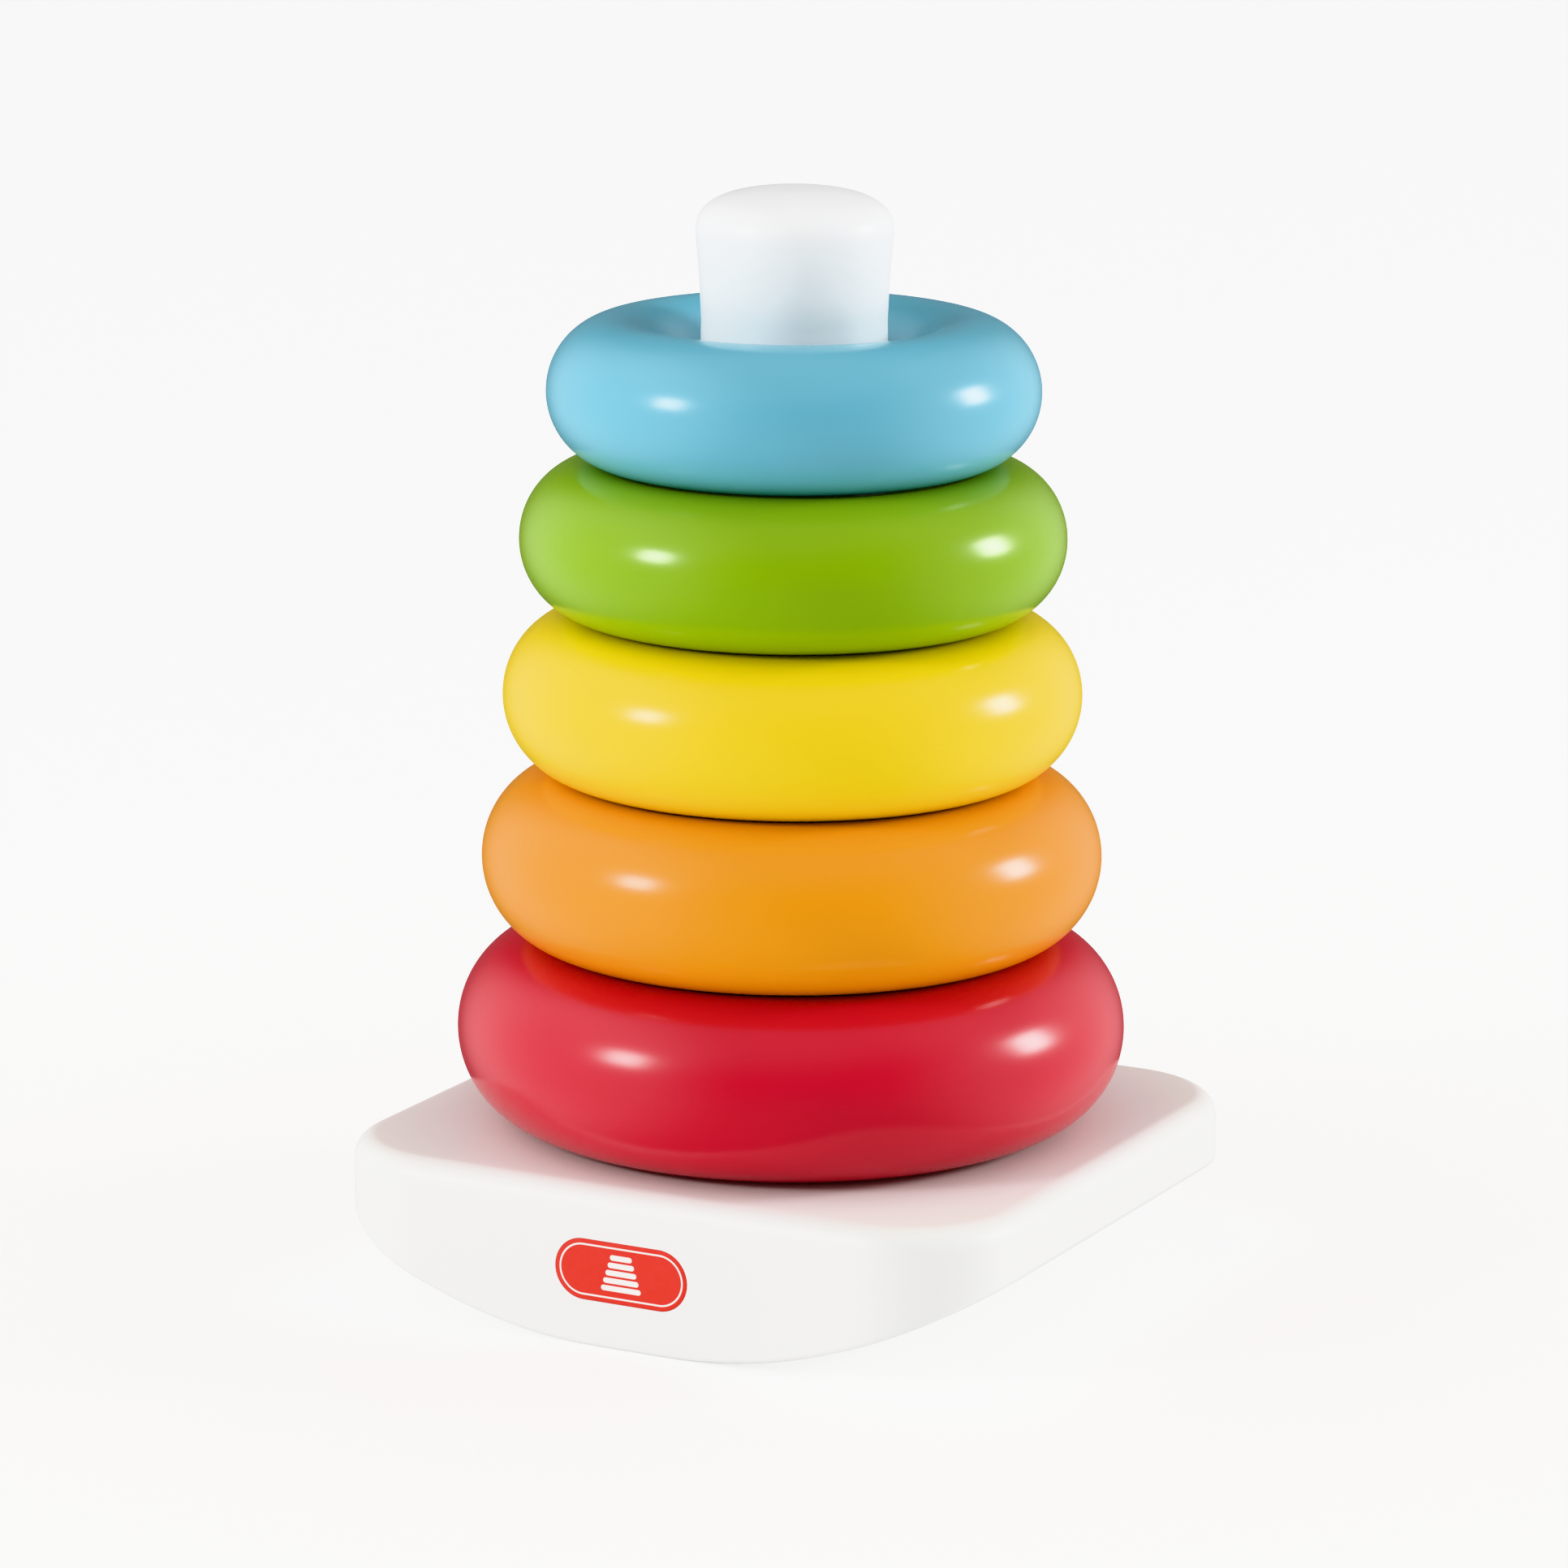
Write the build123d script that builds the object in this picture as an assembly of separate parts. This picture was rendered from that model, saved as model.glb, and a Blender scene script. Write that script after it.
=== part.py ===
from build123d import *
from math import asin, degrees, sqrt
import os

# Stacking ring toy: a hollow rocking base, a post standing in it, and five loose hollow rings.
# Millimetres, +Z up. The origin is on the floor, under the middle of the post.
# The underside curves up towards -X and +X only. The badge is on the -Y side.

# Base: a rounded square whose sides bulge a little and whose underside rocks
BASE_LENGTH = 132.1
BASE_WIDTH = 123.2
BASE_HEIGHT = 29.3
BASE_CORNER = 21.6
SIDE_BOW = 0.45
TOP_EDGE = 4.3
BOTTOM_EDGE = 1.2
BASE_WALL = 2.4
TOP_SKIN = 2.2

# Rocking curve: a flat strip in the middle, then a tighter and a wider arc on each side
FLAT_HALF = 7.1
INNER_ARC = 98.0
INNER_ARC_ANGLE = 18.0
OUTER_ARC = 163.0

# Plate that closes the base from below
PLATE_THICKNESS = 2.0
PLATE_GAP = 0.15
PLATE_RIM = 1.6
PLATE_RIM_HEIGHT = 5.0

# Post: slightly tapered, with a soft knob on top
TOTAL_HEIGHT = 200.0
POST_FOOT_RADIUS = 20.0
POST_WAIST_RADIUS = 16.7
POST_WAIST_Z = 176.2
KNOB_RADIUS = 17.76
KNOB_Z = 192.0
KNOB_CROWN = 1.0
KNOB_FLAT_RADIUS = 11.2
KNOB_SHOULDER = (15.85, 196.95)
NECK_CURVE = [(16.88, 180.0), (17.06, 184.0), (17.38, 187.6)]
POST_WALL = 2.0
KNOB_INSIDE_BEVEL = 4.0
POST_BOTTOM_Z = 14.0
FLANGE_RADIUS = 25.0
FLANGE_TOP_Z = 20.0
FLANGE_THICKNESS = 2.0
SOCKET_GAP = 0.25
SOCKET_WALL = 2.0
PRESS_RING_RADIUS = 24.0
PRESS_RING_WALL = 2.0

# Ribs and locating pins inside the base
RIB = 1.6
RIB_DEPTH = 4.5
BOSS_X = 42.0
BOSS_Y = 40.0
BOSS_RADIUS = 3.6
PIN_RADIUS = 1.8
PIN_HOLE_RADIUS = 0.6
PIN_GAP = 0.1
PIN_TOP_Z = 18.0
BOSS_BOTTOM_Z = 15.0

# Badge: a thin label with round ends, let into the -Y wall
BADGE_LENGTH = 26.5
BADGE_HEIGHT = 11.2
BADGE_X = -1.6
BADGE_Z = 14.3
BADGE_THICKNESS = 0.3

# Rings from the bottom up: outer radius, then the tube's half width and half height
RINGS = {
    "red": (60.98, 15.12, 16.55),
    "orange": (56.43, 14.10, 15.30),
    "yellow": (52.50, 13.81, 14.60),
    "green": (49.45, 12.96, 13.76),
    "blue": (44.53, 12.64, 13.20),
}
RING_WALL = 1.5
REST_GAP = 0.3
LIP = 0.9
LIP_HEIGHT = 1.6
LIP_ROOT = 3.0
LIP_GAP = 0.2
LIP_BITE = 0.4

# How far joined bodies run into each other, and how far a cut runs past a face
OVERLAP = 1.0
LEVEL = 0.01


def save(shape, name):
    """Write one sub-part under its node name."""
    shape.label = name
    export_step(shape, f"parts/{name}.step")


def tube(outer, inner, low, high):
    """Upright tube from height low to height high."""
    length = high - low
    ring = Cylinder(outer, length) - Cylinder(inner, 2 * length)
    return Pos(0, 0, (low + high) / 2) * ring


def bar(size_x, size_y, low, high, x=0.0, y=0.0):
    """Upright rectangular bar from height low to height high."""
    return Pos(x, y, (low + high) / 2) * Box(size_x, size_y, high - low)


# ---------------------------------------------------------------- base

def base_outline(inset=0.0):
    """Plan of the base, moved in by inset: a square with bowed sides and round corners."""
    half_x = BASE_LENGTH / 2 - inset
    half_y = BASE_WIDTH / 2 - inset
    end_x, end_y = half_x - SIDE_BOW, half_y - SIDE_BOW
    sides = [
        ThreePointArc((-end_x, -end_y), (0, -half_y), (end_x, -end_y)),
        ThreePointArc((end_x, -end_y), (half_x, 0), (end_x, end_y)),
        ThreePointArc((end_x, end_y), (0, half_y), (-end_x, end_y)),
        ThreePointArc((-end_x, end_y), (-half_x, 0), (-end_x, -end_y)),
    ]
    plan = make_face(sides)
    return fillet(plan.vertices(), BASE_CORNER - inset)


def rocker_edges():
    """Rocking curve on the XZ plane, from the middle of the flat strip out past the +X wall."""
    half = [
        Line((0, 0), (FLAT_HALF, 0)),
        CenterArc((FLAT_HALF, INNER_ARC), INNER_ARC, -90, INNER_ARC_ANGLE),
    ]
    joint = half[1] @ 1
    tangent = half[1] % 1
    centre = joint + Vector(-tangent.Y, tangent.X) * OUTER_ARC
    half.append(CenterArc((centre.X, centre.Y), OUTER_ARC, -90 + INNER_ARC_ANGLE, INNER_ARC_ANGLE))
    return half


def above_rocker(lift=0.0, height=100.0):
    """Everything above the rocking curve, raised by lift, up to the given height."""
    edges = rocker_edges()
    end = edges[-1] @ 1
    edges += [
        Line((end.X, end.Y), (end.X, height)),
        Line((end.X, height), (0, height)),
        Line((0, height), (0, 0)),
    ]
    right = extrude(Plane.XZ * Pos(0, lift) * make_face(edges), BASE_WIDTH, both=True)
    return right + mirror(right, Plane.YZ)


def outer_block():
    """Full outside of the base, with its rounded top edge and eased bottom edge."""
    block = extrude(base_outline(), BASE_HEIGHT) & above_rocker()
    top = block.edges().filter_by(lambda edge: edge.center().Z > BASE_HEIGHT - LEVEL)
    block = fillet(top, TOP_EDGE)
    rim = ShapeList()
    for face in block.faces():
        if face.normal_at().Z < -0.5:
            rim += [edge for edge in face.edges() if not crosses_underside(edge)]
    return fillet(rim, BOTTOM_EDGE)


def crosses_underside(edge):
    """True for a straight edge along Y between two stretches of the rocking curve."""
    along_y = abs((edge @ 0).X - (edge @ 1).X) < LEVEL
    return along_y and abs((edge @ 0.5).X) < BASE_LENGTH / 2 - BASE_CORNER / 2


def boss_places():
    return [(x, y) for x in (-BOSS_X, BOSS_X) for y in (-BOSS_Y, BOSS_Y)]


def badge_blank():
    """Round-ended block that reaches through the -Y wall where the badge sits."""
    shape = SlotOverall(BADGE_LENGTH, BADGE_HEIGHT)
    return extrude(Plane.XZ * Pos(BADGE_X, BADGE_Z) * shape, BASE_WIDTH)


def badge_layer():
    """Thin skin of the base's outside that the badge is cut from."""
    return extrude(base_outline() - base_outline(BADGE_THICKNESS), BASE_HEIGHT)


def make_base_top_shell():
    skin_z = BASE_HEIGHT - TOP_SKIN
    into_skin = skin_z + OVERLAP
    shell = outer_block() - extrude(base_outline(BASE_WALL), skin_z)
    socket_inside = POST_FOOT_RADIUS + SOCKET_GAP
    socket_outside = socket_inside + SOCKET_WALL
    rib_low = skin_z - RIB_DEPTH
    ribs = bar(BASE_LENGTH - 2 * BASE_WALL + OVERLAP, RIB, rib_low, into_skin)
    ribs += bar(RIB, BASE_WIDTH - 2 * BASE_WALL + OVERLAP, rib_low, into_skin)
    shell += ribs
    shell += tube(socket_outside, socket_inside, FLANGE_TOP_Z, into_skin)
    for x, y in boss_places():
        shell += Pos(x, y) * tube(BOSS_RADIUS, PIN_RADIUS + PIN_GAP, BOSS_BOTTOM_Z, into_skin)
    shell -= Pos(0, 0, BASE_HEIGHT) * Cylinder(socket_inside, BASE_HEIGHT)
    return shell - (badge_blank() & badge_layer())


def make_base_rocker_plate():
    outline = base_outline(BASE_WALL + PLATE_GAP)
    rim_inside = base_outline(BASE_WALL + PLATE_GAP + PLATE_RIM)
    curve = above_rocker()
    low_band = curve - above_rocker(PLATE_RIM_HEIGHT)
    plate = extrude(outline, BASE_HEIGHT) & (curve - above_rocker(PLATE_THICKNESS))
    plate += extrude(outline - rim_inside, BASE_HEIGHT) & low_band
    plate += tube(PRESS_RING_RADIUS, PRESS_RING_RADIUS - PRESS_RING_WALL, OVERLAP,
                  FLANGE_TOP_Z - FLANGE_THICKNESS)
    rib_start = PRESS_RING_RADIUS - PRESS_RING_WALL / 2
    rib_length = BASE_LENGTH / 2 - BASE_WALL - PLATE_GAP - OVERLAP - rib_start
    for side in (-1, 1):
        plate += bar(rib_length, RIB, 0, BASE_HEIGHT, x=side * (rib_start + rib_length / 2)) & low_band
    for x, y in boss_places():
        pin = Pos(x, y) * tube(PIN_RADIUS, PIN_HOLE_RADIUS, 0, PIN_TOP_Z)
        plate += pin & (curve - above_rocker(BASE_HEIGHT))
    return plate


def make_badge():
    return badge_blank() & badge_layer()


# ---------------------------------------------------------------- post

def post_side():
    """Outside of the post on the XZ plane, from the foot up to the top's middle."""
    corner = (KNOB_FLAT_RADIUS, TOTAL_HEIGHT - KNOB_CROWN)
    crown_radius = (KNOB_FLAT_RADIUS**2 + KNOB_CROWN**2) / (2 * KNOB_CROWN)
    crown_angle = degrees(asin(KNOB_FLAT_RADIUS / crown_radius))
    neck = (POST_WAIST_RADIUS, POST_WAIST_Z)
    knob = (KNOB_RADIUS, KNOB_Z)
    lean = (POST_WAIST_RADIUS - POST_FOOT_RADIUS, POST_WAIST_Z - BASE_HEIGHT)
    return [
        Line((0, POST_BOTTOM_Z), (POST_FOOT_RADIUS, POST_BOTTOM_Z)),
        Line((POST_FOOT_RADIUS, POST_BOTTOM_Z), (POST_FOOT_RADIUS, BASE_HEIGHT)),
        Line((POST_FOOT_RADIUS, BASE_HEIGHT), neck),
        Spline([neck, *NECK_CURVE, knob], tangents=[lean, (0, 1)]),
        Spline([knob, KNOB_SHOULDER, corner], tangents=[(0, 1), (-1, KNOB_FLAT_RADIUS / crown_radius)]),
        CenterArc((0, TOTAL_HEIGHT - crown_radius), crown_radius, 90 - crown_angle, crown_angle),
        Line((0, TOTAL_HEIGHT), (0, POST_BOTTOM_Z)),
    ]


def make_post():
    solid = revolve(Plane.XZ * make_face(post_side()), Axis.Z)
    inside_foot = POST_FOOT_RADIUS - POST_WALL
    inside_waist = POST_WAIST_RADIUS - POST_WALL
    inside_top = TOTAL_HEIGHT - KNOB_CROWN - POST_WALL
    below = POST_BOTTOM_Z - OVERLAP
    bevel = KNOB_INSIDE_BEVEL
    bore = Polyline((0, below), (inside_foot, below), (inside_foot, BASE_HEIGHT),
                    (inside_waist, POST_WAIST_Z), (inside_waist, inside_top - bevel),
                    (inside_waist - bevel, inside_top), (0, inside_top), close=True)
    solid -= revolve(Plane.XZ * make_face(bore), Axis.Z)
    flange = tube(FLANGE_RADIUS, POST_FOOT_RADIUS - OVERLAP, FLANGE_TOP_Z - FLANGE_THICKNESS, FLANGE_TOP_Z)
    return solid + flange


# ---------------------------------------------------------------- rings

def ring_heights():
    """Height of each ring's middle, so that each oval rests just clear of the one below."""
    heights = {}
    below = None
    for name, (outer, half_width, half_height) in RINGS.items():
        middle = outer - half_width
        if below is None:
            height = BASE_HEIGHT + REST_GAP + half_height
        else:
            low_middle, low_width, low_rise, low_height = below
            reach = half_height + low_rise + REST_GAP
            spread = half_width + low_width + REST_GAP
            height = low_height + reach * sqrt(1 - ((low_middle - middle) / spread) ** 2)
        heights[name] = height
        below = (middle, half_width, half_height, height)
    return heights


def make_ring_half(name, upper):
    """Upper or lower half of one hollow ring. The lower half has the two lips that locate it."""
    outer, half_width, half_height = RINGS[name]
    height = ring_heights()[name]
    middle = outer - half_width
    wall = Ellipse(half_width, half_height) - Ellipse(half_width - RING_WALL, half_height - RING_WALL)
    side = 1 if upper else -1
    keep = Pos(0, side * half_height) * Rectangle(4 * half_width, 2 * half_height)
    section = wall & keep
    if not upper:
        for out in (-1, 1):
            tongue = half_width - RING_WALL - LIP_GAP - LIP / 2
            section += Pos(out * tongue, (LIP_HEIGHT - LIP_ROOT) / 2) * Rectangle(LIP, LIP_HEIGHT + LIP_ROOT)
            root = half_width - RING_WALL + LIP_BITE / 2 - LIP_GAP / 2
            section += Pos(out * root, -LIP_ROOT / 2) * Rectangle(LIP_BITE + LIP_GAP, LIP_ROOT)
    return revolve(Plane.XZ * Pos(middle, height) * section, Axis.Z)


# ---------------------------------------------------------------- write the nodes

os.makedirs("parts", exist_ok=True)

save(make_base_top_shell(), "base_top_shell")
save(make_base_rocker_plate(), "base_rocker_plate")
save(make_badge(), "front_badge")
save(make_post(), "post")
for ring in RINGS:
    save(make_ring_half(ring, upper=False), f"{ring}_ring_lower_shell")
    save(make_ring_half(ring, upper=True), f"{ring}_ring_upper_shell")

for ring, height in ring_heights().items():
    outer, half_width, half_height = RINGS[ring]
    print(f"{ring}: bottom {height - half_height:.2f}, middle {height:.2f}, top {height + half_height:.2f}")
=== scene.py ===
# %% [markdown]
# # A stacking ring toy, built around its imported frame
# The toy is a white rocking base with a post, and five hollow plastic rings that lift off.
# The frame holds the real sizes and the joints. This lesson gives every piece a clean mesh and a finish.
# All sizes are in metres. A millimetre is `MM`, so that numbers read as they do on a drawing.

# %% Load the frame
from math import asin, atan2, cos, degrees, pi, radians, sin, sqrt

import bmesh
import bpy
from mathutils import Matrix, Vector


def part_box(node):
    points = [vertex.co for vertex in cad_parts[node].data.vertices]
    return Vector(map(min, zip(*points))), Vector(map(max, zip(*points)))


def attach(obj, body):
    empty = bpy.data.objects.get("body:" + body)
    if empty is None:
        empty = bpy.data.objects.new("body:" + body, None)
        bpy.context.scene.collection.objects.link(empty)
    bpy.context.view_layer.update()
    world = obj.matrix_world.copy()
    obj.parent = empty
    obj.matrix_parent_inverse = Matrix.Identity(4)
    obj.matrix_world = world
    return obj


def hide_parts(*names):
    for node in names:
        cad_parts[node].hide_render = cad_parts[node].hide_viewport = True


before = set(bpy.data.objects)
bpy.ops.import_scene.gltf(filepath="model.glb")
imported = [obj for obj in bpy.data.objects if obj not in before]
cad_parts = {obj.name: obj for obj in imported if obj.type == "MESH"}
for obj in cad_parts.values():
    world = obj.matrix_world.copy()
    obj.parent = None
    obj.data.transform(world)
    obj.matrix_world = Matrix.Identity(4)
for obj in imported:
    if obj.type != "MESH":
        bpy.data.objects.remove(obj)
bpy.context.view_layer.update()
MM = 0.001

# %% [markdown]
# ## Helpers for turned and lofted pieces
# Almost every piece of the toy is a moulding with a wall, an outside and an inside. Its surface can
# be described as a stack of closed loops with the same number of points, so one small function can
# skin any of them. The alternatives are a subdivision cage, which rounds where it likes, or
# booleans, which leave long thin faces that shine unevenly. A loft keeps the faces even, and on a
# glossy piece that shows.


# %% Skin a closed mesh over loops
def skin(name, loops, crowns=None):
    """Mesh over closed loops of equal length. crowns are the points that close the first and the
    last loop. Without them the last loop is joined to the first."""
    count = len(loops[0])
    points = [p for loop in loops for p in loop]
    faces = []
    for i in range(len(loops) - 1 if crowns else len(loops)):
        low, high = i * count, ((i + 1) % len(loops)) * count
        for k in range(count):
            after = (k + 1) % count
            faces.append((low + k, low + after, high + after, high + k))
    if crowns:
        for start, crown in zip((0, (len(loops) - 1) * count), crowns):
            faces += [(start + k, start + (k + 1) % count, len(points)) for k in range(count)]
            points.append(crown)
    mesh = bpy.data.meshes.new(name)
    mesh.from_pydata(points, [], faces)
    return mesh


SAME_POINT = 1e-7
SHARP_CORNER = radians(35.0)


def finish_mesh(mesh):
    """Outward normals and smooth shading, with the real corners kept sharp."""
    work = bmesh.new()
    work.from_mesh(mesh)
    bmesh.ops.remove_doubles(work, verts=work.verts, dist=SAME_POINT)
    bmesh.ops.recalc_face_normals(work, faces=work.faces)
    for face in work.faces:
        face.smooth = True
    for edge in work.edges:
        edge.smooth = not (edge.is_manifold and edge.calc_face_angle() > SHARP_CORNER)
    work.to_mesh(mesh)
    work.free()
    return mesh


def show(name, data):
    """Object in the scene for a mesh, a light or a camera."""
    item = bpy.data.objects.new(name, data)
    bpy.context.scene.collection.objects.link(item)
    return item


def place(name, mesh, body, node):
    """Object for a finished mesh that stands for one node of the frame."""
    piece = show(name, mesh)
    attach(piece, body)
    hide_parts(node)
    print(name, len(mesh.polygons), "faces")
    return piece


# %% [markdown]
# ## The section of a ring shell
# Each ring is two moulded shells welded at the middle. The section of a shell is half an oval wall,
# and the lower shell also has two lips that reach up inside the upper one and locate it. A torus
# could stand in for it, but it is round where the ring is oval, and solid where the ring is hollow.
# The oval is a formula, so the section needs only its half width, half height and wall.

# %% Ring sections
RING_WALL = 1.5 * MM
LIP_GAP = 0.2 * MM
LIP = 0.9 * MM
LIP_HEIGHT = 1.6 * MM
LIP_ROOT = 3.0 * MM
OUTSIDE_STEPS = 72
INSIDE_STEPS = 36


def oval_arc(half_width, half_height, start, end, steps):
    """Points of an oval from one angle to another, in degrees."""
    turn = [radians(start + (end - start) * i / steps) for i in range(steps + 1)]
    return [(half_width * cos(t), half_height * sin(t)) for t in turn]


def shell_section(half_width, half_height, upper):
    """Closed outline of the upper or lower shell's wall, around the middle of the tube."""
    in_width, in_height = half_width - RING_WALL, half_height - RING_WALL
    if upper:
        outside = oval_arc(half_width, half_height, 0, 180, OUTSIDE_STEPS)
        return outside + oval_arc(in_width, in_height, 180, 0, INSIDE_STEPS)
    outside = oval_arc(half_width, half_height, 360, 180, OUTSIDE_STEPS)
    lip_out = in_width - LIP_GAP
    lip_in = lip_out - LIP
    root = degrees(asin(LIP_ROOT / in_height))
    lip = [(lip_out, 0), (lip_out, LIP_HEIGHT), (lip_in, LIP_HEIGHT), (lip_in, -LIP_ROOT)]
    inside = oval_arc(in_width, in_height, 180 + root, 360 - root, INSIDE_STEPS)
    return outside + [(-x, z) for x, z in lip] + inside + lip[::-1]


# %% [markdown]
# ## Turning the sections with Geometry Nodes
# A real ring comes out of a round mould, and all ten shells follow one rule: a section carried
# round a circle. A node tree that carries any section round the post, with the circle's radius and
# height as named inputs, makes them all alike. A lathe in mesh code would do too, but the tree
# keeps the rule in one place, where it can be reused and its numbers changed.


# %% Build the turning tree
STEPS_ROUND = 192


def turning_tree():
    """Node group: carry the section round a level circle about the post."""
    tree = bpy.data.node_groups.new("turn_section_round_post", "GeometryNodeTree")
    tree.is_modifier = True
    face = tree.interface
    face.new_socket("Geometry", in_out="INPUT", socket_type="NodeSocketGeometry")
    for name, value in (("Circle Radius", 0.04), ("Circle Height", 0.05)):
        socket = face.new_socket(name, in_out="INPUT", socket_type="NodeSocketFloat")
        socket.default_value = value
    steps = face.new_socket("Steps Round", in_out="INPUT", socket_type="NodeSocketInt")
    steps.default_value = STEPS_ROUND
    face.new_socket("Finish", in_out="INPUT", socket_type="NodeSocketMaterial")
    face.new_socket("Geometry", in_out="OUTPUT", socket_type="NodeSocketGeometry")
    nodes, links = tree.nodes, tree.links
    given = nodes.new("NodeGroupInput")
    section = nodes.new("GeometryNodeMeshToCurve")
    circle = nodes.new("GeometryNodeCurvePrimitiveCircle")
    sweep = nodes.new("GeometryNodeCurveToMesh")
    height = nodes.new("ShaderNodeCombineXYZ")
    lift = nodes.new("GeometryNodeTransform")
    real = nodes.new("GeometryNodeRealizeInstances")
    paint = nodes.new("GeometryNodeSetMaterial")
    out = nodes.new("NodeGroupOutput")
    links.new(given.outputs["Geometry"], section.inputs["Mesh"])
    links.new(given.outputs["Circle Radius"], circle.inputs["Radius"])
    links.new(given.outputs["Steps Round"], circle.inputs["Resolution"])
    links.new(circle.outputs["Curve"], sweep.inputs["Curve"])
    links.new(section.outputs["Curve"], sweep.inputs["Profile Curve"])
    links.new(given.outputs["Circle Height"], height.inputs["Z"])
    links.new(sweep.outputs["Mesh"], lift.inputs["Geometry"])
    links.new(height.outputs["Vector"], lift.inputs["Translation"])
    links.new(lift.outputs["Geometry"], real.inputs["Geometry"])
    links.new(real.outputs["Geometry"], paint.inputs["Geometry"])
    links.new(given.outputs["Finish"], paint.inputs["Material"])
    links.new(paint.outputs["Geometry"], out.inputs["Geometry"])
    return tree


TURN = turning_tree()
print("turning tree:", len(TURN.nodes), "nodes")

# %% [markdown]
# ## From the tree to a plain mesh
# A turned shell on the real toy is one closed wall. The tree could stay on the piece as a live
# modifier, but then its material would go through the tree too, and every later step would
# run it again. Its result is taken once instead, as a plain mesh with clean normals.


# %% Turn a section into a mesh
def socket_id(name):
    """Identifier of one of the turning tree's inputs."""
    return next(s.identifier for s in TURN.interface.items_tree if s.name == name and s.in_out == "INPUT")


def turn_round_post(name, section, radius, height, material):
    """Plain mesh of a section turned about the post."""
    line = bpy.data.meshes.new(name)
    edges = [(i, (i + 1) % len(section)) for i in range(len(section))]
    line.from_pydata([(-x, z, 0.0) for x, z in section], edges, [])
    holder = show(name + "_section", line)
    modifier = holder.modifiers.new("turn", "NODES")
    modifier.node_group = TURN
    given = {"Circle Radius": radius, "Circle Height": height, "Steps Round": STEPS_ROUND, "Finish": material}
    for socket, value in given.items():
        modifier[socket_id(socket)] = value
    graph = bpy.context.evaluated_depsgraph_get()
    mesh = bpy.data.meshes.new_from_object(holder.evaluated_get(graph), depsgraph=graph)
    bpy.data.objects.remove(holder)
    bpy.data.meshes.remove(line)
    mesh.name = name
    return finish_mesh(mesh)


# %% [markdown]
# ## What moulded plastic looks like
# Moulded plastic is never one flat colour: the pigment is a little denser in places, and the
# polished steel leaves a faint waviness that only the gloss shows. An image texture could carry
# that, but it would need an unwrapped mesh and would blur close up. Noise in three dimensions needs
# neither. One node group makes it all, and each finish places it with its own colour and gloss.
# The group puts out a colour, a roughness and a height. The shader stays in each material.


# %% Helpers for shader nodes
def math_node(tree, operation, *values):
    """Math node on numbers or sockets. Returns its result socket."""
    node = tree.nodes.new("ShaderNodeMath")
    node.operation = operation
    for socket, value in zip(node.inputs, values):
        if isinstance(value, (int, float)):
            socket.default_value = value
        else:
            tree.links.new(value, socket)
    return node.outputs["Value"]


def mix_colours(tree, share, first, second):
    """Mix of two colours or colour sockets by a share socket. Returns its result socket."""
    node = tree.nodes.new("ShaderNodeMix")
    node.data_type = "RGBA"
    tree.links.new(share, node.inputs["Factor"])
    for socket, value in zip([s for s in node.inputs if s.type == "RGBA"], (first, second)):
        if isinstance(value, tuple):
            socket.default_value = value
        else:
            tree.links.new(value, socket)
    return next(s for s in node.outputs if s.type == "RGBA")


# %% Build the moulded surface group
WAVE_SHARE = 0.6


def moulded_surface_group():
    """Shader group: colour, roughness and height of a moulded wall, from a position."""
    tree = bpy.data.node_groups.new("moulded_surface", "ShaderNodeTree")
    face = tree.interface
    face.new_socket("Position", in_out="INPUT", socket_type="NodeSocketVector")
    face.new_socket("Pigment", in_out="INPUT", socket_type="NodeSocketColor")
    face.new_socket("Thick Pigment", in_out="INPUT", socket_type="NodeSocketColor")
    for name, value in (
        ("Cloud Scale", 30.0),
        ("Roughness", 0.28),
        ("Roughness Spread", 0.05),
        ("Grain Scale", 900.0),
        ("Wave Scale", 70.0),
        ("Grain Share", 0.4),
    ):
        socket = face.new_socket(name, in_out="INPUT", socket_type="NodeSocketFloat")
        socket.default_value = value
    face.new_socket("Colour", in_out="OUTPUT", socket_type="NodeSocketColor")
    face.new_socket("Roughness", in_out="OUTPUT", socket_type="NodeSocketFloat")
    face.new_socket("Height", in_out="OUTPUT", socket_type="NodeSocketFloat")
    nodes, links = tree.nodes, tree.links
    given = nodes.new("NodeGroupInput")
    out = nodes.new("NodeGroupOutput")

    def noise(scale_socket, detail, roughness):
        node = nodes.new("ShaderNodeTexNoise")
        node.inputs["Detail"].default_value = detail
        node.inputs["Roughness"].default_value = roughness
        links.new(given.outputs["Position"], node.inputs["Vector"])
        links.new(given.outputs[scale_socket], node.inputs["Scale"])
        return node.outputs["Fac"]

    cloud = noise("Cloud Scale", 2.0, 0.5)
    grain = noise("Grain Scale", 3.0, 0.6)
    wave = noise("Wave Scale", 2.0, 0.45)
    colour = mix_colours(tree, cloud, given.outputs["Pigment"], given.outputs["Thick Pigment"])
    waves = math_node(tree, "MULTIPLY", wave, WAVE_SHARE)
    grains = math_node(tree, "MULTIPLY", grain, 1.0 - WAVE_SHARE)
    uneven = math_node(tree, "SUBTRACT", math_node(tree, "ADD", waves, grains), 0.5)
    spread = math_node(tree, "MULTIPLY", uneven, given.outputs["Roughness Spread"])
    fine = math_node(tree, "MULTIPLY", grain, given.outputs["Grain Share"])
    links.new(colour, out.inputs["Colour"])
    links.new(math_node(tree, "ADD", given.outputs["Roughness"], spread), out.inputs["Roughness"])
    links.new(math_node(tree, "ADD", wave, fine), out.inputs["Height"])
    return tree


MOULDED = moulded_surface_group()
print("moulded surface:", len(MOULDED.nodes), "nodes")

# %% [markdown]
# ## From the surface group to a finish
# A finish on the real toy is a pigment, a gloss and a texture, and the three come from the mould
# and the resin. Each could be a material of its own from scratch, but then a change to one is a
# change to seven. One function places the group in a new material and hands it the values.


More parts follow.
